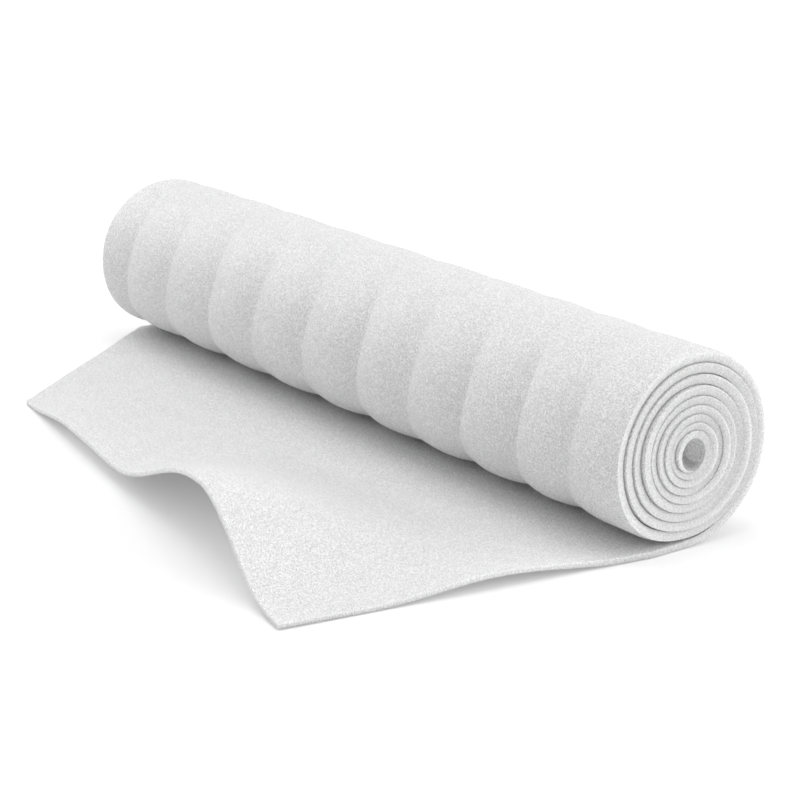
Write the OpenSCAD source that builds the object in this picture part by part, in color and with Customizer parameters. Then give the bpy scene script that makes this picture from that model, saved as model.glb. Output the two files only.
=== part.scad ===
// Foam wrap roll: one wide foam sheet, wound on itself round an open middle, lying on its side.
// The sheet's outer end comes out from under the roll and lies on the floor in front of it.
// X runs along the roll's axis, the loose end lies towards -Y, and +Z is up.
// The origin is on the floor, midway along the roll and straight below its axis.

/* [Sheet] */
// Width of the sheet, which is the length of the roll
sheet_w = 305; // [220:5:400]
// Thickness of the foam
foam_t = 2.65; // [2:0.05:3.2]
// Air left between one turn and the next
turn_gap = 0.15; // [0.1:0.05:0.3]

/* [Roll] */
// Outer radius of the roll
roll_r = 31; // [26:0.1:34]
// Least radius of the open middle
middle_r = 3.5; // [3:0.1:6]
// Angle that the sheet's inner end runs on past the last whole turn
inner_end_angle = 40; // [15:5:60]
// Depth of the flat that the soft roll presses under itself
flat_depth = 0.3; // [0.1:0.1:0.5]
// Most that one turn's edge stands back from the end of the roll
edge_stagger = 0.8; // [0.1:0.1:1.5]
// Depth to which the turns stand apart at the ends of the roll, and further in they press together
seam_depth = 5; // [3:0.5:10]
// Radius that rounds the rims of the outer turn
rim_r = 1.7; // [0.8:0.1:1.8]

/* [Gathers round the outer turn] */
// Number of grooves round the outer turn
groove_count = 10; // [4:1:14]
// Depth of each groove
groove_depth = 0.7; // [0.2:0.1:0.8]
// Distance of the first groove from the far rim
first_groove = 9.5; // [6:0.5:20]
// Distance of the last groove from the near rim
last_groove = 30.5; // [15:0.5:45]
// How far the middle grooves wander towards the near rim
groove_drift = 8; // [0:1:10]

/* [Loose end] */
// Reach of the loose end in front of the axis at its near corner
near_reach = 133; // [110:1:150]
// Reach of the loose end in front of the axis at its far corner
far_reach = 95.5; // [80:0.5:120]
// How far the near corner lies in from the roll's near rim
near_inset = 21; // [0:1:40]
// How far the far corner lies in from the roll's far rim
far_inset = 60.5; // [0:0.5:80]
// Angle round the roll, from its lowest line, at which the loose end comes free
free_angle = 27; // [20:1:35]

/* [Wave in the loose end] */
// Height of the wave over the swell that it stands on
wave_h = 19.5; // [10:0.5:25]
// Length of the wave on its gentle side, towards the far corner
wave_far = 79; // [60:1:85]
// Length of the wave on its steep side, towards the near corner
wave_near = 44; // [30:1:50]
// Distance of the wave's crest from the near corner, along the free edge
crest_from_near = 56; // [50:1:70]
// Distance from the roll, as a share of the loose end, at which the wave starts to rise
wave_start = 0.3; // [0:0.05:0.5]
// Height of the low swell all along the free edge
swell_h = 4.9; // [0.5:0.1:6]
// Length over which the swell rises from the far corner
swell_far = 48; // [20:1:80]
// Length over which the swell rises from the near corner
swell_near = 36; // [20:1:60]
// Height to which the near side edge lifts between the roll and the near corner
side_lift = 3; // [0.5:0.5:5]

/* [Hidden] */
$fn = 96;
foam_white = [0.93, 0.93, 0.92];

half_w = sheet_w / 2;
turn_pitch = foam_t + turn_gap;
axis_z = roll_r - flat_depth;
// Whole turns that fit between the outer radius and the open middle
turn_count = floor((roll_r + turn_gap - middle_r) / turn_pitch - 0.5);

// The roll presses the sheet that it lies on, from behind its lowest line to where the sheet comes free
pressed_t = foam_t - flat_depth;
bed_back = 3;
bed_front = roll_r * sin(free_angle);

// Corners of the free edge on the floor
far_corner = [-half_w + far_inset, -far_reach];
near_corner = [half_w - near_inset, -near_reach];
edge_len = norm(near_corner - far_corner);
// Share of the loose end's length over which its foam swells back to full thickness
swell_back_share = 0.15;

// How far one turn presses into the next where they are joined
press = 0.05;

// Samples along each bulge, round each rim, across the loose end and along it
bulge_steps = 6;
rim_steps = 3;
cols = 52;
rows = 12;

function smooth(f) = f <= 0 ? 0 : f >= 1 ? 1 : f * f * (3 - 2 * f);

// Raised cosine, 1 at d = 0 and 0 from d = w on
function hump(d, w) = abs(d) >= w ? 0 : (1 + cos(180 * d / w)) / 2;

// Place of groove i along the roll
function groove_x(i) =
    let (f = i / (groove_count - 1))
    -half_w + first_groove + f * (sheet_w - first_groove - last_groove)
        + groove_drift * sin(180 * pow(f, 1.8));

// Borders of the bulges: the far rim, every groove and the near rim
bulge_ends = concat([-half_w], [for (i = [0:groove_count - 1]) groove_x(i)], [half_w]);

// Sink of the outer surface at share f of bulge b, which has no groove at a rim
function sink(f, b) =
    let (last = len(bulge_ends) - 2,
         g = b == 0 ? (1 + f) / 2 : b == last ? f / 2 : f)
    groove_depth * (1 - sin(180 * g));

// Point of the rounded rim on one side, from the end face (0) to the outer surface (90), as [place, sink]
function rim_point(side, a) =
    [side * (half_w - rim_r * (1 - cos(a))), rim_r * (1 - sin(a))];

// Outer outline of the outer turn along the roll, as [place, sink] pairs
function outer_line() =
    let (bulges = [for (b = [0:len(bulge_ends) - 2]) for (k = [1:bulge_steps])
            let (f = k / bulge_steps)
            [bulge_ends[b] * (1 - f) + bulge_ends[b + 1] * f, sink(f, b)]])
    concat(
        [for (k = [0:rim_steps]) rim_point(-1, 90 * k / rim_steps)],
        [for (p = bulges) if (abs(p[0]) < half_w - rim_r - 0.1) p],
        [for (k = [rim_steps:-1:0]) rim_point(1, 90 * k / rim_steps)]);

// Inner outline of a turn, from its near edge to its far one: apart from the next turn at the ends,
// and pressed into it between them
function inner_line(r, near_edge, far_edge) =
    [[r - foam_t, near_edge],
     [r - foam_t, half_w - seam_depth],
     [r - turn_pitch - press, half_w - seam_depth],
     [r - turn_pitch - press, seam_depth - half_w],
     [r - foam_t, seam_depth - half_w],
     [r - foam_t, -far_edge]];

// Section of the outer turn, radius first and place along the roll second
module outer_section(r) {
    polygon(concat(
        [for (p = outer_line()) [r - p[1], p[0]]],
        inner_line(r, half_w, half_w)));
}

// Section of an inner turn, whose edges stand back a little, each by its own amount
module inner_section(r, turn) {
    near_edge = half_w - edge_stagger * (1 - sin(137 * turn)) / 2;
    far_edge = half_w - edge_stagger * (1 - sin(97 * turn + 40)) / 2;
    polygon(concat([[r, -far_edge], [r, near_edge]], inner_line(r, near_edge, far_edge)));
}

module section(r, turn) {
    if (turn == 0)
        outer_section(r);
    else
        inner_section(r, turn);
}

// Arc of sheet about an axis at height z, from angle start over span degrees, seen from the near end
module arc(z, start, span) {
    translate([0, 0, z])
        rotate([start, 0, 0])
            rotate([90, 0, 90])
                rotate_extrude(angle = span)
                    children();
}

// The turns: back halves about one axis, and front halves about an axis half a pitch higher
module turns() {
    for (turn = [0:turn_count - 1]) {
        r = roll_r - turn * turn_pitch;
        arc(axis_z, -90, 180)
            section(r, turn);
        arc(axis_z + turn_pitch / 2, 90, 180)
            section(r - turn_pitch / 2, turn);
    }
    arc(axis_z, -90, inner_end_angle)
        section(roll_r - turn_count * turn_pitch, turn_count);
}

// Everything below the floor, which the flat under the roll is cut with
module below_floor() {
    translate([-sheet_w, -sheet_w, -roll_r])
        cube([2 * sheet_w, 2 * sheet_w, roll_r]);
}

// Pressed stretch of the sheet that lies between the roll and the floor
module bed() {
    translate([-half_w, -bed_front, 0])
        cube([sheet_w, bed_front + bed_back, pressed_t]);
}

// Height of the free edge at distance s from its far corner
function wave_z(s) =
    let (d = s - (edge_len - crest_from_near))
    wave_h * hump(d, d < 0 ? wave_far : wave_near);
function swell_z(s) = swell_h * smooth(s / swell_far) * smooth((edge_len - s) / swell_near);

// Height of the underside at share u across the sheet, from its far side, and share v towards the free edge
function lift(u, v) =
    smooth((v - wave_start) / (1 - wave_start)) * wave_z(u * edge_len)
        + pow(v, 2) * swell_z(u * edge_len)
        + side_lift * pow(u, 6) * pow(sin(180 * smooth(1.15 * v)), 2);

// Point of the underside
function under_point(u, v) =
    let (start = [-half_w + u * sheet_w, -bed_front],
         end = far_corner * (1 - u) + near_corner * u,
         p = start * (1 - v) + end * v)
    [p[0], p[1], lift(u, v)];

function loose_t(v) = pressed_t + (foam_t - pressed_t) * smooth(v / swell_back_share);

// Loose end of the sheet, from the bed to the free edge
module loose_end() {
    under = [for (j = [0:rows]) for (i = [0:cols]) under_point(i / cols, j / rows)];
    over = [for (j = [0:rows]) for (i = [0:cols]) under_point(i / cols, j / rows) + [0, 0, loose_t(j / rows)]];
    n = cols + 1;
    top = len(under);
    cells = [for (j = [0:rows - 1]) for (i = [0:cols - 1]) j * n + i];
    rim = concat(
        [for (i = [0:cols - 1]) i],
        [for (j = [0:rows - 1]) j * n + cols],
        [for (i = [cols:-1:1]) rows * n + i],
        [for (j = [rows:-1:1]) j * n]);
    polyhedron(
        concat(under, over),
        concat(
            [for (a = cells) [a, a + n + 1, a + 1]],
            [for (a = cells) [a, a + n, a + n + 1]],
            [for (a = cells) [top + a, top + a + 1, top + a + n + 1]],
            [for (a = cells) [top + a, top + a + n + 1, top + a + n]],
            [for (i = [0:len(rim) - 1])
                let (a = rim[i], b = rim[(i + 1) % len(rim)])
                [a, top + b, top + a]],
            [for (i = [0:len(rim) - 1])
                let (a = rim[i], b = rim[(i + 1) % len(rim)])
                [a, b, top + b]]));
}

module foam_sheet() {
    color(foam_white)
        union() {
            difference() {
                turns();
                below_floor();
            }
            bed();
            loose_end();
        }
}

foam_sheet();
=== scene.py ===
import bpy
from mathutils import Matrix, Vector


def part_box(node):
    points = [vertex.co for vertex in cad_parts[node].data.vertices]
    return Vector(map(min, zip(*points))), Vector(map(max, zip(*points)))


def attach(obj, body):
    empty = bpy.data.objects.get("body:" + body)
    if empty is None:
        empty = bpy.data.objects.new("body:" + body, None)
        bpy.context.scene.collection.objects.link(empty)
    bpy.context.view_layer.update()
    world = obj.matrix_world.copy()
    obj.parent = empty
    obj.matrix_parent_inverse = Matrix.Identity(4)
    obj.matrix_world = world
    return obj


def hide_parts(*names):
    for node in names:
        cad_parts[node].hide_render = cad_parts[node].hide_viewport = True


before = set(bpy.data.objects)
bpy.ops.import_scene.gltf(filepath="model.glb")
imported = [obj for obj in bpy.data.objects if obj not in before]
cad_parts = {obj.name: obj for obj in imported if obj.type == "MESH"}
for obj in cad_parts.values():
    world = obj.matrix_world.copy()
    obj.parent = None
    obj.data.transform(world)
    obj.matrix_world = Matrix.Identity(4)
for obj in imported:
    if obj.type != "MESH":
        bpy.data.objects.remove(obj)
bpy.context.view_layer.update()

import math

import bmesh
import bpy
from bpy.props import FloatProperty, FloatVectorProperty, IntProperty, PointerProperty
from mathutils import Vector, noise

bl_info = {
    "name": "Foam Wrap Roll",
    "version": (1, 0, 0),
    "blender": (4, 2, 0),
    "location": "3D View > Sidebar > Foam Wrap",
    "description": "A roll of white foam wrap with soft gathers and a loose end that stands up in a wave",
    "category": "Object",
}

MM = 0.001
DEG = math.pi / 180

# Extent of the CAD sheet, which some of the defaults come from
LOW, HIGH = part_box("foam_sheet")
# Depth of the flat under the roll, by which the roll is lower than it is wide
FLAT_DEPTH = 0.3 * MM


class FoamSheetSettings(bpy.types.PropertyGroup):
    """Sizes of the sheet and of the roll that it is wound into"""

    width: FloatProperty(
        name="Sheet Width", description="Width of the sheet, which is the length of the roll",
        default=HIGH[0] - LOW[0], unit="LENGTH")
    thickness: FloatProperty(
        name="Foam Thickness", description="Most that the foam measures through in the roll",
        default=3.1 * MM, unit="LENGTH")
    loose_thickness: FloatProperty(
        name="Loose Thickness", description="Thickness of the foam at the free edge",
        default=1.55 * MM, unit="LENGTH")
    pressed_thickness: FloatProperty(
        name="Pressed Thickness", description="Thickness of the foam under the roll",
        default=2.1 * MM, unit="LENGTH")
    turn_gap: FloatProperty(
        name="Gap Between Turns", description="Air left between one turn and the next",
        default=0.02 * MM, unit="LENGTH")
    roll_radius: FloatProperty(
        name="Roll Radius", description="Outer radius of the roll",
        default=(HIGH[2] + FLAT_DEPTH) / 2, unit="LENGTH")
    flat_depth: FloatProperty(
        name="Flat Depth", description="How far the soft roll sinks onto the floor",
        default=FLAT_DEPTH, unit="LENGTH")
    turns: IntProperty(
        name="Whole Turns", description="Number of whole turns round the open middle",
        default=9, min=4, max=9)
    hole_radius: FloatProperty(
        name="Open Middle Radius", description="Radius of the open middle",
        default=4.4 * MM, unit="LENGTH")
    barrel: FloatProperty(
        name="Barrel", description="How much slimmer the roll is at its ends than in its middle",
        default=0.3 * MM, unit="LENGTH")
    hole_shift: FloatVectorProperty(
        name="Open Middle Shift", description="How far the open middle lies from the roll's centre",
        size=2, default=(1.4 * MM, -1.5 * MM), unit="LENGTH")
    lip_angle: FloatProperty(
        name="Inner End Angle", description="Angle that the inner end runs on past the last whole turn",
        default=40 * DEG, subtype="ANGLE")
    edge_wander: FloatProperty(
        name="Edge Wander", description="Most that the edge of a turn stands in or out of the end face",
        default=0.25 * MM, unit="LENGTH")
    dish: FloatProperty(
        name="End Face Dish", description="How far the innermost turn stands back from the outermost",
        default=1.0 * MM, unit="LENGTH")
    rim_reach: FloatProperty(
        name="Rim Reach", description="Length over which the turns draw in towards each end of the roll",
        default=4.5 * MM, unit="LENGTH")
    rim_drop: FloatProperty(
        name="Rim Drop", description="How far the turns draw in at the ends of the roll",
        default=0.65 * MM, unit="LENGTH")


class FoamGatherSettings(bpy.types.PropertyGroup):
    """Grooves that the gathered outer turn shows"""

    count: IntProperty(
        name="Grooves", description="Number of grooves round the outer turn",
        default=10, min=2, max=14)
    depth: FloatProperty(
        name="Groove Depth", description="Usual depth of a groove",
        default=1.9 * MM, unit="LENGTH")
    first: FloatProperty(
        name="First Groove", description="Distance of the first groove from the far rim",
        default=9.5 * MM, unit="LENGTH")
    last: FloatProperty(
        name="Last Groove", description="Distance of the last groove from the near rim",
        default=30.5 * MM, unit="LENGTH")
    drift: FloatProperty(
        name="Drift", description="How far the middle grooves wander towards the near rim",
        default=8 * MM, unit="LENGTH")
    bow: FloatProperty(
        name="Bow", description="How far the grooves bow towards the near rim in front",
        default=11 * MM, unit="LENGTH")


class FoamLooseEndSettings(bpy.types.PropertyGroup):
    """Loose end of the sheet, drawn out on the floor"""

    near_reach: FloatProperty(
        name="Near Reach", description="Reach of the near corner in front of the roll's axis",
        default=-LOW[1], unit="LENGTH")
    far_reach: FloatProperty(
        name="Far Reach", description="Reach of the far corner in front of the roll's axis",
        default=95.5 * MM, unit="LENGTH")
    near_inset: FloatProperty(
        name="Near Inset", description="How far the near corner lies in from the near rim",
        default=21 * MM, unit="LENGTH")
    far_inset: FloatProperty(
        name="Far Inset", description="How far the far corner lies in from the far rim",
        default=60.5 * MM, unit="LENGTH")
    free_angle: FloatProperty(
        name="Free Angle", description="Angle round the roll at which the sheet comes free in front",
        default=27 * DEG, subtype="ANGLE")
    wave_height: FloatProperty(
        name="Wave Height", description="Height of the wave over the swell that it stands on",
        default=19.5 * MM, unit="LENGTH")
    wave_far: FloatProperty(
        name="Wave Gentle Side", description="Length of the wave's gentle side",
        default=79 * MM, unit="LENGTH")
    wave_near: FloatProperty(
        name="Wave Steep Side", description="Length of the wave's steep side",
        default=44.5 * MM, unit="LENGTH")
    crest_from_near: FloatProperty(
        name="Crest Place", description="Distance of the crest from the near corner",
        default=56 * MM, unit="LENGTH")
    swell: FloatProperty(
        name="Swell Height", description="Height of the low swell along the free edge",
        default=4.9 * MM, unit="LENGTH")
    side_lift: FloatProperty(
        name="Side Lift", description="Height to which the near side edge lifts off the floor",
        default=3.1 * MM, unit="LENGTH")


class FoamFinishSettings(bpy.types.PropertyGroup):
    """Colour and grain of the foam, and the painted shade beside its grooves"""

    colour: FloatVectorProperty(
        name="Foam Colour", description="Colour of the foam",
        default=(0.87, 0.87, 0.872), min=0, max=1, subtype="COLOR")
    cell: FloatProperty(
        name="Cell Size", description="Size of the foam's cells",
        default=0.64 * MM, unit="LENGTH")
    glow: FloatProperty(
        name="Light Spread", description="Share of the light that spreads inside the foam",
        default=0.4, min=0, max=1, subtype="FACTOR")
    cut_glow: FloatProperty(
        name="Light Spread in Edges", description="Share of the light that spreads inside the cut edges",
        default=1.0, min=0, max=1, subtype="FACTOR")
    # Painted shade: the most by which the base colour is darkened in the hollows beside the grooves,
    # standing in for the shade there
    painted_hollow_shade: FloatProperty(
        name="Hollow Shade", description="How much darker the foam is in the hollows beside the grooves",
        default=0.05, min=0, max=0.5, subtype="FACTOR")


class FoamStageSettings(bpy.types.PropertyGroup):
    """Floor, light and camera"""

    sky: FloatProperty(
        name="Sky Light", description="Strength of the light from all round",
        default=0.54, min=0)
    top_light: FloatProperty(
        name="Top Light", description="Power of the soft light above",
        default=9.4, min=0, unit="POWER")
    left_light: FloatProperty(
        name="Left Light", description="Power of the soft light at the far end",
        default=8.2, min=0, unit="POWER")
    back_light: FloatProperty(
        name="Back Light", description="Power of the soft light behind the near end",
        default=11.8, min=0, unit="POWER")
    lens: FloatProperty(
        name="Lens", description="Focal length of the camera",
        default=98.2, unit="CAMERA")
    camera_place: FloatVectorProperty(
        name="Camera Place", description="Place of the camera",
        default=(0.5946, -0.4302, 0.2405), subtype="TRANSLATION")
    camera_turn: FloatVectorProperty(
        name="Camera Angles", description="Azimuth and height of the line of sight, in radians",
        size=2, default=(53.83 * DEG, 17.62 * DEG))


def smooth(share):
    """Smooth step from 0 to 1"""
    share = min(max(share, 0.0), 1.0)
    return share * share * (3.0 - 2.0 * share)


def ramp(value, start, span):
    """Smooth step that is 0 up to start and 1 from one span further on"""
    return smooth((value - start) / span)


def hump(distance, reach):
    """Raised cosine, 1 at no distance and 0 from reach on"""
    if abs(distance) >= reach:
        return 0.0
    return 0.5 + 0.5 * math.cos(math.pi * distance / reach)


def soft_max(a, b, blend):
    """The larger of two lengths, rounded over where they meet"""
    near = max(blend - abs(a - b), 0.0) / blend
    return max(a, b) + near * near * blend / 4


class Shape:
    """Middle surface of the sheet, from its free edge to the inner end of the roll. Angles go round
    the roll from its lowest line: up behind it, over the top and down in front"""

    # Columns in a bulge, and rows in an outer turn, an inner turn, the loose end and under the roll
    BULGE_COLUMNS = 14
    TURN_ROWS = 112
    INNER_TURN_ROWS = 56
    TAIL_ROWS = 56
    BED_ROWS = 6
    # How even the columns of a bulge are, where 0 crowds them most towards its borders
    EVENNESS = 0.25
    # Distances of the first rows and columns from a cut edge, and the least for a bulge's others
    NEAR_EDGE = (0.05 * MM, 0.15 * MM, 0.3 * MM, 0.5 * MM)
    CLEAR_OF_EDGE = 2 * MM
    # Distances of the inner turns' other columns from each end of the roll
    INNER_COLUMNS = (2.6 * MM, 4 * MM, 6 * MM, 8.5 * MM, 12 * MM, 40 * MM, 90 * MM)

    # Length over which the sheet thins towards its cut edges, its share of thickness there, and the
    # part of the loss that is spared where the turns press together
    ROUNDING = 0.5 * MM
    EDGE_SHARE = 0.96
    SPARED = 0.75
    # Foam between the open middle and the last outer face, and room over the sheet under the roll
    INNER_FOAM = 2 * MM
    BED_ROOM = 0.2 * MM
    # Length over which the flat under the roll blends into the round
    FLAT_BLEND = 0.3 * MM
    # Turns over which the pressed foam swells back, and over which the roll turns uneven
    SWELL_BACK = 0.12
    SETTING_IN = 0.1
    # Share of a turn after which the loose outer turns draw in over the sheet's start
    DRAW_IN = 0.8
    # Number of outer turns that are loose in front
    LOOSE_TURNS = 4.0
    # How much faster the outer turns step inwards than the inner ones
    STEP_CHANGE = 0.15
    # Turns over which the inner end thins out, and how much thinner it gets
    THINNING_TURNS = 0.5
    THINNED = 0.9

    # Depth by which the inner turns stay clear of the gathers of the outer one, the angle from which
    # they draw in and its span, and the distance from the roll's ends and its span
    WAIST = 2.9 * MM
    WAIST_ANGLE = 6.12
    WAIST_SPAN = 0.7
    WAIST_START = 1 * MM
    WAIST_REACH = 8 * MM
    # How even the bulges are: 1 where their crowns stand midway, less where they lie towards the far end
    LEAN = 0.85
    # Share of half a bulge over which its groove is rounded
    CREASE = 0.12
    # Share of a bulge from which on painted shade darkens its colour towards the next groove
    PAINTED_SHADE_START = 0.35
    # Angle at which the grooves bow most, and how far the bow reaches to each side of it
    BOW_ANGLE = 247 * DEG
    BOW_REACH = 92 * DEG
    # How far the grooves wander along the roll, and the angle over which they start to
    GROOVE_WANDER = 1.6 * MM
    WANDER_SPAN = 0.8
    # How much the depth varies from groove to groove, and along each one
    VARY_BETWEEN = 0.22
    VARY_ALONG = 0.3
    # Angle from which the grooves set in and its span, and the same for where they end
    RISE_ANGLE = 0.35
    RISE_SPAN = 0.7
    END_ANGLE = 5.95
    END_SPAN = 0.28
    # Share of their depth that the grooves have on top, where the sheet is drawn tight, and where
    # they deepen towards the front
    DEPTH_ON_TOP = 0.3
    FRONT_ANGLE = 165 * DEG
    FRONT_SPAN = 90 * DEG
    # Share that the grooves are deeper behind the roll, where, and how far to each side
    DEPTH_BEHIND = 0.45
    BEHIND_ANGLE = 80 * DEG
    BEHIND_REACH = 65 * DEG

    # About how far the turns lie out of round, the sizes of that along the roll and across it, and the
    # cosine of the angle beneath which it fades towards the floor, with its span
    OUT_OF_ROUND = 0.24 * MM
    ROUND_LENGTH = 0.07
    ROUND_WIDTH = 0.017
    RESTING = 0.7
    RESTING_SPAN = 0.2
    # About how deep the lumps of the outer turn are, their size along the roll, the length from its
    # ends in which they fade, and the angle from which they set in, with its span
    LUMP_DEPTH = 0.16 * MM
    LUMP_LENGTH = 0.011
    LUMP_REACH = 9 * MM
    LUMP_ANGLE = 0.4
    LUMP_SPAN = 0.6
    # Length of each end of the roll in which the turns shift with their edges
    SHIFT_REACH = 14 * MM
    # How far the outer turn stands off at the near end, the angle at which it does so most, its reach
    # before and after that, where along the roll it starts, and the length over which it grows
    CRESCENT = 0.2 * MM
    CRESCENT_ANGLE = 327 * DEG
    CRESCENT_BEFORE = 52 * DEG
    CRESCENT_AFTER = 31 * DEG
    CRESCENT_START = 0.085
    CRESCENT_SPAN = 0.06

    # Lengths over which the swell rises from the far corner and from the near one
    SWELL_FAR = 48 * MM
    SWELL_NEAR = 36 * MM
    # Share of the loose end at which the wave starts to rise
    WAVE_START = 0.3
    # Share of the loose end at which its near side lifts most, and how far to each side it does
    LIFT_PLACE = 0.42
    LIFT_REACH = 0.36
    # About how high the ripples of the loose end are, their sizes, and where they are full
    RIPPLE = 0.35 * MM
    RIPPLE_LENGTH = 0.035
    RIPPLE_WIDTH = 0.03
    RIPPLE_FULL = 0.2
    # Share of the loose end over which its foam thins
    THIN_BY = 0.4

    def __init__(self, scene):
        self.sheet = scene.foam_sheet
        self.gathers = scene.foam_gathers
        self.loose = scene.foam_loose_end
        self.half = self.sheet.width / 2
        self.axis_z = self.sheet.roll_radius - self.sheet.flat_depth
        self.bed_front = self.sheet.roll_radius * math.sin(self.loose.free_angle)
        self.end_turn = self.sheet.turns + self.sheet.lip_angle / math.tau
        self.shift = Vector(self.sheet.hole_shift)
        # Way that the outer face of the sheet goes inwards, from the first turn to the inner end
        self.way_in = self.sheet.roll_radius - self.sheet.hole_radius - self.INNER_FOAM
        bed = self.sheet.pressed_thickness + self.BED_ROOM + self.sheet.flat_depth
        self.first_step = bed / (self.way_in + self.shift.y)
        self.far_corner = Vector((-self.half + self.loose.far_inset, -self.loose.far_reach))
        self.near_corner = Vector((self.half - self.loose.near_inset, -self.loose.near_reach))
        self.edge_length = (self.near_corner - self.far_corner).length
        self.groove_bases = [self.groove_base(i) for i in range(self.gathers.count)]
        self.columns = self.outer_columns()

    def groove_base(self, i):
        """Place of a groove along the roll, before it bows"""
        share = i / (self.gathers.count - 1)
        span = self.sheet.width - self.gathers.first - self.gathers.last
        drift = self.gathers.drift * math.sin(math.pi * share ** 1.8)
        return -self.half + self.gathers.first + share * span + drift

    def outer_columns(self):
        """Columns of the loose end and the outer turn, as (bulge, share of the bulge)"""
        last = self.gathers.count
        columns = [(0, 0.0)]
        columns += [(0, off / self.gathers.first) for off in self.NEAR_EDGE]
        for bulge in range(last + 1):
            steps = self.BULGE_COLUMNS // 2 if bulge == 0 else self.BULGE_COLUMNS
            for k in range(1, steps + 1):
                even = k / steps
                share = 0.5 - 0.5 * math.cos(math.pi * even)
                share = self.EVENNESS * even + (1 - self.EVENNESS) * share
                if bulge == 0 and share * self.gathers.first < self.CLEAR_OF_EDGE:
                    continue
                if bulge == last and (1 - share) * self.gathers.last < self.CLEAR_OF_EDGE:
                    continue
                columns.append((bulge, share))
        columns += [(last, 1 - off / self.gathers.last) for off in reversed(self.NEAR_EDGE)]
        columns.append((last, 1.0))
        return columns

    def edge_share(self, from_edge, angle=0.0):
        """Share of the foam's thickness that far from a cut edge, which makes the edge round. It is
        less round at the angles at which the turns press together"""
        inwards = min(from_edge / self.ROUNDING, 1.0)
        pressed = smooth(0.5 + 0.9 * noise.noise(Vector((0.8 * angle, 5.2, 9.1))))
        least = self.EDGE_SHARE + (1 - self.EDGE_SHARE) * self.SPARED * pressed
        return least + (1 - least) * math.sqrt(1 - (1 - inwards) ** 2)

    def fold(self, share):
        """Sink of a bulge at that share of it, from 0 at its crown to 1 at the rounded grooves"""
        off = abs(2 * share ** self.LEAN - 1)
        if off > 1 - self.CREASE:
            off -= (off - 1 + self.CREASE) ** 2 / (2 * self.CREASE)
        return off * off

    def border(self, k, angle):
        """Place of border k of the bulges: a rim of the roll, or groove k - 1 at that angle"""
        if k == 0:
            return -self.half
        if k == len(self.groove_bases) + 1:
            return self.half
        bow = self.gathers.bow * hump(angle - self.BOW_ANGLE, self.BOW_REACH)
        wander = self.GROOVE_WANDER * noise.noise(Vector((3.7 * k, 1.1 * angle, 0.5)))
        return self.groove_bases[k - 1] + bow + wander * smooth(angle / self.WANDER_SPAN)

    def groove_depth(self, k, angle):
        """Depth of the groove at border k, at that angle"""
        if k == 0 or k == len(self.groove_bases) + 1:
            return 0.0
        vary = 1.0 + self.VARY_BETWEEN * math.sin(2.4 * k)
        vary += self.VARY_ALONG * noise.noise(Vector((5.1 * k, 1.3 * angle, 7.7)))
        fade = ramp(angle, self.RISE_ANGLE, self.RISE_SPAN)
        fade *= 1 - ramp(angle, self.END_ANGLE, self.END_SPAN)
        share = self.DEPTH_ON_TOP
        share += (1 - self.DEPTH_ON_TOP) * ramp(angle, self.FRONT_ANGLE, self.FRONT_SPAN)
        share += self.DEPTH_BEHIND * hump(angle - self.BEHIND_ANGLE, self.BEHIND_REACH)
        return self.gathers.depth * vary * fade * share

    def gather_sink(self, bulge, share, angle):
        """How far the outer turn sinks at that share of a bulge"""
        if bulge == 0:
            depth = self.groove_depth(1, angle)
            return depth * self.fold((1 + share) / 2)
        if bulge == len(self.groove_bases):
            depth = self.groove_depth(bulge, angle)
            crown = 0.5 ** (1 / self.LEAN)
            return depth * self.fold(min(share, crown))
        depth = self.groove_depth(bulge, angle) * (1 - share)
        depth += self.groove_depth(bulge + 1, angle) * share
        return depth * self.fold(share)

    def painted_shade(self, bulge, share, angle):
        """How much painted shade darkens the foam's colour where a bulge falls towards the next groove,
        from 0 to 1
        """
        if bulge == len(self.groove_bases):
            return 0.0
        depth = self.groove_depth(bulge + 1, angle) / self.gathers.depth
        return min(depth, 1.0) * max((share - self.PAINTED_SHADE_START) / (1 - self.PAINTED_SHADE_START), 0.0) ** 1.5

    def way(self, turn):
        """Share of the way in that the sheet's outer face has gone after so many turns"""
        if turn <= 1:
            return self.first_step * turn
        part = (turn - 1) / (self.end_turn - 1)
        return self.first_step + (1 - self.first_step) * part * (1 + self.STEP_CHANGE * (1 - part))

    def slack(self, turn):
        """How far the sheet stands out from an even spiral, because its outer turns are loose in front"""
        part = turn % 1
        out = self.first_step * self.way_in * part
        out *= 1 - smooth((part - self.DRAW_IN) / (1 - self.DRAW_IN))
        return out * min(max(1 - (turn - self.DRAW_IN) / self.LOOSE_TURNS, 0.0), 1.0)

    def foam_thickness(self, turn):
        """Thickness of the foam after so many turns, as the next turn leaves room for it"""
        angle = math.tau * turn
        towards = self.shift.x * math.sin(angle) - self.shift.y * math.cos(angle)
        room = (self.way(turn + 1) - self.way(turn)) * (self.way_in - towards)
        room += self.slack(turn) - self.slack(turn + 1)
        full = min(room - self.sheet.turn_gap, self.sheet.thickness)
        full *= 1 - self.THINNED * smooth(1 - (self.end_turn - turn) / self.THINNING_TURNS)
        pressed = self.sheet.pressed_thickness
        return pressed + (full - pressed) * smooth(turn / self.SWELL_BACK)

    def wind(self, x, angle, sink):
        """Point of the rolled sheet at that angle from the roll's lowest line, sunk towards the axis,
        and the foam's thickness there"""
        turn = angle / math.tau
        gone = self.way(turn)
        thick = self.foam_thickness(turn)
        radius = self.sheet.roll_radius - gone * self.way_in + self.slack(turn) - thick / 2
        across, down = math.sin(angle), math.cos(angle)
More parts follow.
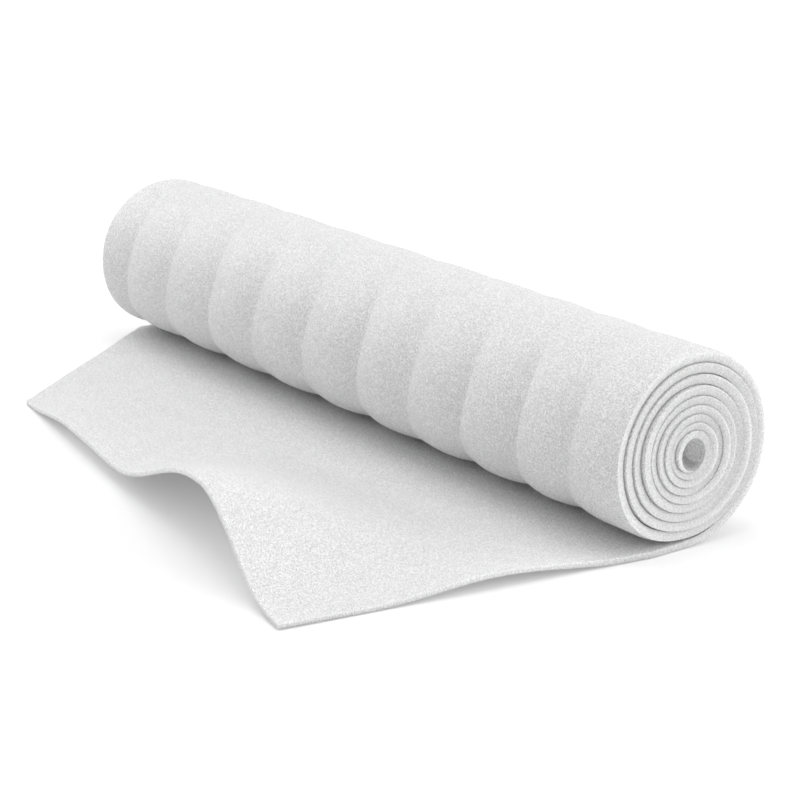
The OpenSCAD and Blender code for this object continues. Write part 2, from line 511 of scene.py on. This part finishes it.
        # The turns lie a little out of round, each like the one beside it, but not on the floor
        at = Vector((
            x / self.ROUND_LENGTH, radius * across / self.ROUND_WIDTH, radius * down / self.ROUND_WIDTH))
        set_in = smooth(turn / self.SETTING_IN)
        out_of_round = self.OUT_OF_ROUND * noise.noise(at) * set_in
        radius += out_of_round * (1 - ramp(down, self.RESTING, self.RESTING_SPAN)) - sink
        radius -= self.sheet.barrel * (x / self.half) ** 2 * set_in
        y = gone * self.shift.x + radius * across
        z = self.axis_z + gone * self.shift.y - radius * down
        if turn < 0.25:
            z = soft_max(z, thick / 2, self.FLAT_BLEND)
        return Vector((x, y, z)), thick

    def rim_sink(self, from_end):
        """How far the turns draw in, that far from an end of the roll"""
        share = max(1 - from_end / self.sheet.rim_reach, 0.0)
        return self.sheet.rim_drop * share * share

    def edge_shift(self, x, angle):
        """Shift of a point along the roll where the sheet's edge wanders"""
        from_end = self.half - abs(x)
        near = 1 - smooth(from_end / self.SHIFT_REACH)
        if near == 0:
            return 0.0
        # Two waves that fall out of step, other ones at the far end
        phase = 0.0 if x > 0 else 2.6
        turns = angle / math.tau
        swing = math.sin(0.61 * angle + phase) + 0.7 * math.sin(1.37 * angle + 1.3 + 2 * phase)
        wander = self.sheet.edge_wander * swing * smooth(turns)
        back = self.sheet.dish * (turns / self.sheet.turns) ** 1.4
        return (wander - back) * near * (1 if x > 0 else -1)

    def crescent(self, x, angle):
        """How far the outer turn stands off the next one at the front of the near end, low down"""
        off = angle - self.CRESCENT_ANGLE
        swell = hump(off, self.CRESCENT_BEFORE if off < 0 else self.CRESCENT_AFTER)
        return self.CRESCENT * swell * ramp(x, self.CRESCENT_START, self.CRESCENT_SPAN)

    def outer_turn_point(self, bulge, share, angle):
        """Point and thickness of the outer turn at that share of a bulge and that angle"""
        x = self.border(bulge, angle) * (1 - share) + self.border(bulge + 1, angle) * share
        from_end = self.half - abs(x)
        sink = self.gather_sink(bulge, share, angle) + self.rim_sink(from_end)
        lumps = noise.noise(Vector((x / self.LUMP_LENGTH, 2.6 * angle, 3.3)))
        lumps *= smooth(from_end / self.LUMP_REACH) * ramp(angle, self.LUMP_ANGLE, self.LUMP_SPAN)
        sink += self.LUMP_DEPTH * lumps
        sink -= self.crescent(x, angle)
        sink += self.waist(from_end, angle)
        point, thick = self.wind(x + self.edge_shift(x, angle), angle, sink)
        return point, thick * self.edge_share(from_end, angle)

    def waist(self, from_end, angle):
        """How far the inner turns stay clear of the gathers"""
        along = ramp(from_end, self.WAIST_START, self.WAIST_REACH)
        return self.WAIST * along * ramp(angle, self.WAIST_ANGLE, self.WAIST_SPAN)

    def inner_point(self, x, angle):
        """Point and thickness of the inner turns at that place along the roll and that angle"""
        from_end = self.half - abs(x)
        sink = self.rim_sink(from_end) + self.waist(from_end, angle)
        point, thick = self.wind(x + self.edge_shift(x, angle), angle, sink)
        return point, thick * self.edge_share(from_end, angle)

    def edge_height(self, along):
        """Heights of the wave and of the swell under it, that far along the free edge from its far
        corner"""
        to_near = self.edge_length - along
        off = along - (self.edge_length - self.loose.crest_from_near)
        reach = self.loose.wave_far if off < 0 else self.loose.wave_near
        wave = self.loose.wave_height * hump(off, reach)
        swell = self.loose.swell * smooth(along / self.SWELL_FAR) * smooth(to_near / self.SWELL_NEAR)
        return wave, swell

    def loose_point(self, u, v):
        """Point and thickness of the loose end at share u across, from its far side, and share v
        towards the free edge"""
        start = Vector((-self.half + u * self.sheet.width, -self.bed_front))
        end = self.far_corner.lerp(self.near_corner, u)
        flat = start.lerp(end, v)
        wave, swell = self.edge_height(u * self.edge_length)
        lift = wave * ramp(v, self.WAVE_START, 1 - self.WAVE_START) + swell * v ** 2.2
        lift += self.loose.side_lift * u ** 8 * hump(v - self.LIFT_PLACE, self.LIFT_REACH)
        ripple = noise.noise(Vector((flat.x / self.RIPPLE_LENGTH, flat.y / self.RIPPLE_WIDTH, 1.7)))
        lift += self.RIPPLE * (0.5 + ripple) * smooth(v / self.RIPPLE_FULL)
        pressed = self.sheet.pressed_thickness
        thick = pressed + (self.sheet.loose_thickness - pressed) * smooth(v / self.THIN_BY)
        from_side = self.sheet.width * min(u, 1 - u)
        from_front = (1 - v) * (end - start).length
        share = self.edge_share(min(from_side, from_front))
        return Vector((flat.x, flat.y, thick / 2 + max(lift, 0.0))), thick * share

    def outer_rows(self):
        """Rows from the free edge to the end of the outer turn, each a kind and its place: a share of
        the loose end, a place under the roll or an angle"""
        rows = []
        reach = self.loose.near_reach - self.bed_front
        rows.append(("loose", 1.0))
        rows += [("loose", 1 - off / reach) for off in self.NEAR_EDGE]
        for j in range(1, self.TAIL_ROWS):
            rows.append(("loose", 1 - j / self.TAIL_ROWS))
        for j in range(self.BED_ROWS):
            rows.append(("bed", -self.bed_front * (1 - j / self.BED_ROWS)))
        for j in range(self.TURN_ROWS):
            rows.append(("turn", math.tau * j / self.TURN_ROWS))
        return rows

    def outer_point(self, column, row):
        """Point and thickness where a column and a row of the loose end or the outer turn cross"""
        bulge, share = column
        kind, value = row
        if kind == "turn":
            return self.outer_turn_point(bulge, share, value)
        x = self.border(bulge, 0) * (1 - share) + self.border(bulge + 1, 0) * share
        if kind == "bed":
            thick = self.sheet.pressed_thickness
            return Vector((x, value, thick / 2)), thick * self.edge_share(self.half - abs(x))
        return self.loose_point((x + self.half) / self.sheet.width, value)

    def outer_painted_shade(self, column, row):
        """How much painted shade darkens the foam's colour where that column and that row cross"""
        kind, value = row
        return self.painted_shade(*column, value) if kind == "turn" else 0.0

    def inner_columns(self):
        """Places of the inner turns' columns along the roll"""
        places = [off - self.half for off in (0.0,) + self.NEAR_EDGE + self.INNER_COLUMNS]
        return places + [-x for x in reversed(places)]

    def inner_angles(self):
        """Angles of the inner turns' rows"""
        step = math.tau / self.INNER_TURN_ROWS
        span = math.tau * (self.end_turn - 1)
        count = math.ceil(span / step)
        return [math.tau + span * k / count for k in range(count + 1)]


def grid_into(mesh, columns, rows, most, place, shade):
    """Adds a grid to the mesh and returns its rows of vertices. place(i, j) gives the point and the
    thickness in column i and row j, and the vertex's weight is its share of the most thickness.
    shade(i, j) gives how much painted shade darkens the foam's colour there"""
    weights = mesh.verts.layers.deform.verify()
    # Layer that carries the painted shade, which darkens the colour beside the grooves
    painted_shades = mesh.verts.layers.float["painted_shade"]
    made = bmesh.ops.create_grid(mesh, x_segments=columns - 1, y_segments=rows - 1, size=0.5)["verts"]
    grid = [[None] * columns for _ in range(rows)]
    for vert in made:
        i = round((vert.co.x + 0.5) * (columns - 1))
        j = round((vert.co.y + 0.5) * (rows - 1))
        grid[j][i] = vert
    for j, line in enumerate(grid):
        for i, vert in enumerate(line):
            vert.co, thick = place(i, j)
            vert[weights][0] = thick / most
            vert[painted_shades] = shade(i, j)
    return grid


def row_edges(line):
    """Edges along a row of vertices"""
    edges = []
    for a, b in zip(line, line[1:]):
        edges += [e for e in a.link_edges if b in e.verts]
    return edges


def sheet_mesh(shape):
    """Middle surface of the whole sheet as one mesh"""
    mesh = bmesh.new()
    # Layer for the painted shade beside the grooves
    mesh.verts.layers.float.new("painted_shade")
    rows = shape.outer_rows()
    columns = shape.columns
    most = shape.sheet.thickness
    outer = grid_into(
        mesh, len(columns), len(rows), most, lambda i, j: shape.outer_point(columns[i], rows[j]),
        lambda i, j: shape.outer_painted_shade(columns[i], rows[j]))
    places = shape.inner_columns()
    angles = shape.inner_angles()
    inner = grid_into(
        mesh, len(places), len(angles), most, lambda i, j: shape.inner_point(places[i], angles[j]),
        lambda i, j: 0.0)
    bmesh.ops.bridge_loops(mesh, edges=row_edges(outer[-1]) + row_edges(inner[0]))
    bmesh.ops.recalc_face_normals(mesh, faces=mesh.faces)
    for face in mesh.faces:
        face.smooth = True
    data = bpy.data.meshes.new("foam_wrap_sheet")
    mesh.to_mesh(data)
    mesh.free()
    return data


def node(tree, kind, **sockets):
    """New shader node with its input sockets set"""
    made = tree.nodes.new(kind)
    for name, value in sockets.items():
        made.inputs[name.replace("_", " ")].default_value = value
    return made


def empty_tree(owner):
    """Node tree of a material or a world, with nothing in it"""
    owner.use_nodes = True
    owner.node_tree.nodes.clear()
    return owner.node_tree


def maths(tree, operation, *values):
    """Output of a math node, with each value an output socket or a number"""
    made = tree.nodes.new("ShaderNodeMath")
    made.operation = operation
    for socket, value in zip(made.inputs, values):
        if isinstance(value, bpy.types.NodeSocket):
            tree.links.new(value, socket)
        else:
            socket.default_value = value
    return made.outputs[0]


def mapped(tree, value, interpolation="LINEAR", **sockets):
    """Output of a map range node for that output socket"""
    made = node(tree, "ShaderNodeMapRange", **sockets)
    made.interpolation_type = interpolation
    tree.links.new(value, made.inputs["Value"])
    return made.outputs["Result"]


def noise_of(tree, place, **sockets):
    """Output of a noise texture at that place"""
    made = node(tree, "ShaderNodeTexNoise", **sockets)
    tree.links.new(place, made.inputs["Vector"])
    return made.outputs["Fac"]


def for_camera(tree, others, camera):
    """Output that shows one shader to the camera and another to all other rays"""
    path = node(tree, "ShaderNodeLightPath")
    mix = node(tree, "ShaderNodeMixShader")
    tree.links.new(path.outputs["Is Camera Ray"], mix.inputs[0])
    tree.links.new(others.outputs[0], mix.inputs[1])
    tree.links.new(camera.outputs[0], mix.inputs[2])
    return mix.outputs[0]


def foam_material(name, settings, grain, glow):
    """Foam with fine curly cells; grain scales how deep they are and glow how far light spreads"""
    material = bpy.data.materials.new(name)
    tree = empty_tree(material)
    link = tree.links.new
    place = node(tree, "ShaderNodeTexCoord").outputs["Object"]
    shader = node(
        tree, "ShaderNodeBsdfPrincipled", Roughness=0.45, Subsurface_Weight=glow,
        Subsurface_Radius=(1.0, 1.0, 1.0), Subsurface_Scale=3 * MM, Specular_IOR_Level=0.35)
    output = node(tree, "ShaderNodeOutputMaterial")
    link(shader.outputs["BSDF"], output.inputs["Surface"])

    # Curly cell walls run where a fine noise crosses its middle value, and are lighter than the cells
    curls = noise_of(tree, place, Scale=1 / settings.cell, Detail=1.5, Roughness=0.6)
    apart = maths(tree, "ABSOLUTE", maths(tree, "SUBTRACT", curls, 0.5))
    wall = mapped(tree, apart, "SMOOTHSTEP", From_Min=0.0, From_Max=0.09, To_Min=1.0, To_Max=0.0)
    wall_shade = mapped(tree, wall, To_Min=1 - 0.24 * grain, To_Max=1 + 0.2 * grain)

    # Broad, soft mottling of the foam
    mottle = noise_of(tree, place, Scale=120.0, Detail=3.0, Roughness=0.6)
    mottle_shade = mapped(tree, mottle, From_Min=0.3, From_Max=0.7, To_Min=0.97, To_Max=1.0)

    # Painted shade: the foam's colour is a little darker in the hollows beside the grooves, standing in
    # for the shade that falls there
    painted_shade = node(tree, "ShaderNodeAttribute")
    painted_shade.attribute_name = "painted_shade"
    painted_hollow_shade = mapped(tree, painted_shade.outputs["Fac"], To_Min=1.0, To_Max=1 - settings.painted_hollow_shade)

    # Grain and mottling of the foam, times the painted shade beside the grooves
    shade = maths(tree, "MULTIPLY", maths(tree, "MULTIPLY", wall_shade, mottle_shade), painted_hollow_shade)
    colour = node(tree, "ShaderNodeVectorMath")
    colour.operation = "SCALE"
    colour.inputs[0].default_value = settings.colour
    link(shade, colour.inputs["Scale"])
    link(colour.outputs["Vector"], shader.inputs["Base Color"])

    bump = node(tree, "ShaderNodeBump", Strength=0.35 * grain, Distance=0.12 * MM)
    link(wall, bump.inputs["Height"])
    link(bump.outputs["Normal"], shader.inputs["Normal"])
    return material


class OBJECT_OT_foam_wrap_sheet(bpy.types.Operator):
    """Add the foam sheet, wound into its roll with the loose end drawn out"""

    bl_idname = "object.foam_wrap_sheet"
    bl_label = "Add Foam Sheet"
    bl_options = {"REGISTER", "UNDO"}

    def execute(self, context):
        scene = context.scene
        shape = Shape(scene)
        piece = bpy.data.objects.new("foam_wrap_sheet", sheet_mesh(shape))
        context.collection.objects.link(piece)
        finish = scene.foam_finish
        piece.data.materials.append(foam_material("foam", finish, 1.0, finish.glow))
        piece.data.materials.append(foam_material("foam_cut", finish, 0.8, finish.cut_glow))

        solid = piece.modifiers.new("Foam Thickness", "SOLIDIFY")
        piece.vertex_groups.new(name="thickness")
        solid.thickness = shape.sheet.thickness
        solid.vertex_group = "thickness"
        solid.offset = 0
        solid.use_even_offset = True
        solid.material_offset_rim = 1
        flat = piece.modifiers.new("Flat Cut Edges", "WEIGHTED_NORMAL")
        flat.weight = 50

        # Laid flat, the whole sheet is 1.09 m long
        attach(piece, "root")
        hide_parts("foam_sheet")
        return {"FINISHED"}


class OBJECT_OT_foam_wrap_stage(bpy.types.Operator):
    """Add the floor, the lights and the camera"""

    bl_idname = "object.foam_wrap_stage"
    bl_label = "Add Stage"
    bl_options = {"REGISTER", "UNDO"}

    # Side of each square light, its distance from the origin, and the height that it points at
    LIGHT_SIZE = 1.25
    LIGHT_DISTANCE = 1.6
    LIGHT_AIM = 0.02
    # Half the floor's width, and how far it lies below the roll
    FLOOR_REACH = 4.0
    FLOOR_DROP = 0.2 * MM
    # How light the floor is
    FLOOR_SHADE = 0.78
    # Least and most glow of the floor, and the distances from the origin at which it has them
    GLOW = (0.26, 0.9)
    GLOW_REACH = (0.24, 0.7)

    def execute(self, context):
        settings = context.scene.foam_stage
        self.add_floor(context)
        self.add_world(context, settings)
        for name, power, towards in (
                ("top_light", settings.top_light, (0, 0, 1)),
                ("left_light", settings.left_light, (-0.78, -0.28, 0.56)),
                ("back_light", settings.back_light, (0.7, 0.6, 0.39))):
            self.add_light(context, name, power, Vector(towards) * self.LIGHT_DISTANCE)
        self.add_camera(context, settings)
        return {"FINISHED"}

    def add_floor(self, context):
        """White floor that glows for the camera, more so further from the roll"""
        mesh = bmesh.new()
        bmesh.ops.create_grid(mesh, x_segments=1, y_segments=1, size=self.FLOOR_REACH)
        for vert in mesh.verts:
            vert.co.z = -self.FLOOR_DROP
        data = bpy.data.meshes.new("floor")
        mesh.to_mesh(data)
        mesh.free()
        floor = bpy.data.objects.new("floor", data)
        context.collection.objects.link(floor)

        # The camera alone sees the floor brighter, so that it is white and yet keeps soft shadows
        material = bpy.data.materials.new("floor")
        tree = empty_tree(material)
        link = tree.links.new
        place = node(tree, "ShaderNodeTexCoord").outputs["Object"]
        away = node(tree, "ShaderNodeVectorMath")
        away.operation = "LENGTH"
        link(place, away.inputs[0])
        start, end = self.GLOW_REACH
        least, most = self.GLOW
        glow = mapped(
            tree, away.outputs["Value"], From_Min=start, From_Max=end, To_Min=least, To_Max=most)
        white = node(tree, "ShaderNodeEmission", Color=(1, 1, 1, 1))
        link(glow, white.inputs["Strength"])
        dark = node(tree, "ShaderNodeEmission", Color=(0, 0, 0, 1), Strength=0.0)
        matt = node(tree, "ShaderNodeBsdfDiffuse", Color=(*[self.FLOOR_SHADE] * 3, 1))
        both = node(tree, "ShaderNodeAddShader")
        output = node(tree, "ShaderNodeOutputMaterial")
        link(matt.outputs[0], both.inputs[0])
        link(for_camera(tree, dark, white), both.inputs[1])
        link(both.outputs[0], output.inputs["Surface"])
        data.materials.append(material)

    def add_world(self, context, settings):
        """Light from all round, with a white background for the camera"""
        world = bpy.data.worlds.new("studio")
        context.scene.world = world
        tree = empty_tree(world)
        light = node(tree, "ShaderNodeBackground", Color=(1, 1, 1, 1), Strength=settings.sky)
        seen = node(tree, "ShaderNodeBackground", Color=(1, 1, 1, 1), Strength=1.0)
        output = node(tree, "ShaderNodeOutputWorld")
        tree.links.new(for_camera(tree, light, seen), output.inputs["Surface"])

    def add_light(self, context, name, power, place):
        """Square light at that place, turned to the roll"""
        data = bpy.data.lights.new(name, "AREA")
        data.size = self.LIGHT_SIZE
        data.energy = power
        light = bpy.data.objects.new(name, data)
        light.location = place
        light.rotation_mode = "QUATERNION"
        light.rotation_quaternion = (Vector((0, 0, self.LIGHT_AIM)) - place).to_track_quat("-Z", "Y")
        context.collection.objects.link(light)

    def add_camera(self, context, settings):
        """Camera where the photo was taken from"""
        data = bpy.data.cameras.new("camera")
        data.sensor_width = 36
        data.lens = settings.lens
        data.clip_start = 0.01
        camera = bpy.data.objects.new("camera", data)
        turn, height = settings.camera_turn
        sight = Vector((
            -math.sin(turn) * math.cos(height), math.cos(turn) * math.cos(height), -math.sin(height)))
        camera.location = settings.camera_place
        camera.rotation_mode = "QUATERNION"
        camera.rotation_quaternion = sight.to_track_quat("-Z", "Y")
        context.collection.objects.link(camera)
        context.scene.camera = camera
        context.scene.view_settings.view_transform = "Standard"


class VIEW3D_PT_foam_wrap(bpy.types.Panel):
    """Sizes, looks and parts of the foam wrap roll"""

    bl_idname = "VIEW3D_PT_foam_wrap"
    bl_label = "Foam Wrap Roll"
    bl_space_type = "VIEW_3D"
    bl_region_type = "UI"
    bl_category = "Foam Wrap"

    def draw(self, context):
        layout = self.layout
        for label, name, _ in GROUPS:
            box = layout.box()
            box.label(text=label)
            group = getattr(context.scene, name)
            for key in group.__annotations__:
                box.prop(group, key)
        layout.operator(OBJECT_OT_foam_wrap_sheet.bl_idname)
        layout.operator(OBJECT_OT_foam_wrap_stage.bl_idname)


# Heading in the panel, name in the scene and class of each group of settings
GROUPS = (
    ("Sheet and Roll", "foam_sheet", FoamSheetSettings),
    ("Gathers", "foam_gathers", FoamGatherSettings),
    ("Loose End", "foam_loose_end", FoamLooseEndSettings),
    ("Finish", "foam_finish", FoamFinishSettings),
    ("Stage", "foam_stage", FoamStageSettings),
)
CLASSES = tuple(cls for _, _, cls in GROUPS) + (
    OBJECT_OT_foam_wrap_sheet,
    OBJECT_OT_foam_wrap_stage,
    VIEW3D_PT_foam_wrap,
)


def register():
    """Registers the classes, and gives each scene the settings"""
    for cls in CLASSES:
        bpy.utils.register_class(cls)
    for _, name, cls in GROUPS:
        setattr(bpy.types.Scene, name, PointerProperty(type=cls))


def unregister():
    """Takes the settings and the classes out again"""
    for _, name, _ in GROUPS:
        delattr(bpy.types.Scene, name)
    for cls in reversed(CLASSES):
        bpy.utils.unregister_class(cls)


def main():
    """Builds the roll and its stage"""
    register()
    bpy.ops.object.foam_wrap_sheet()
    bpy.ops.object.foam_wrap_stage()


if __name__ == "__main__":
    main()
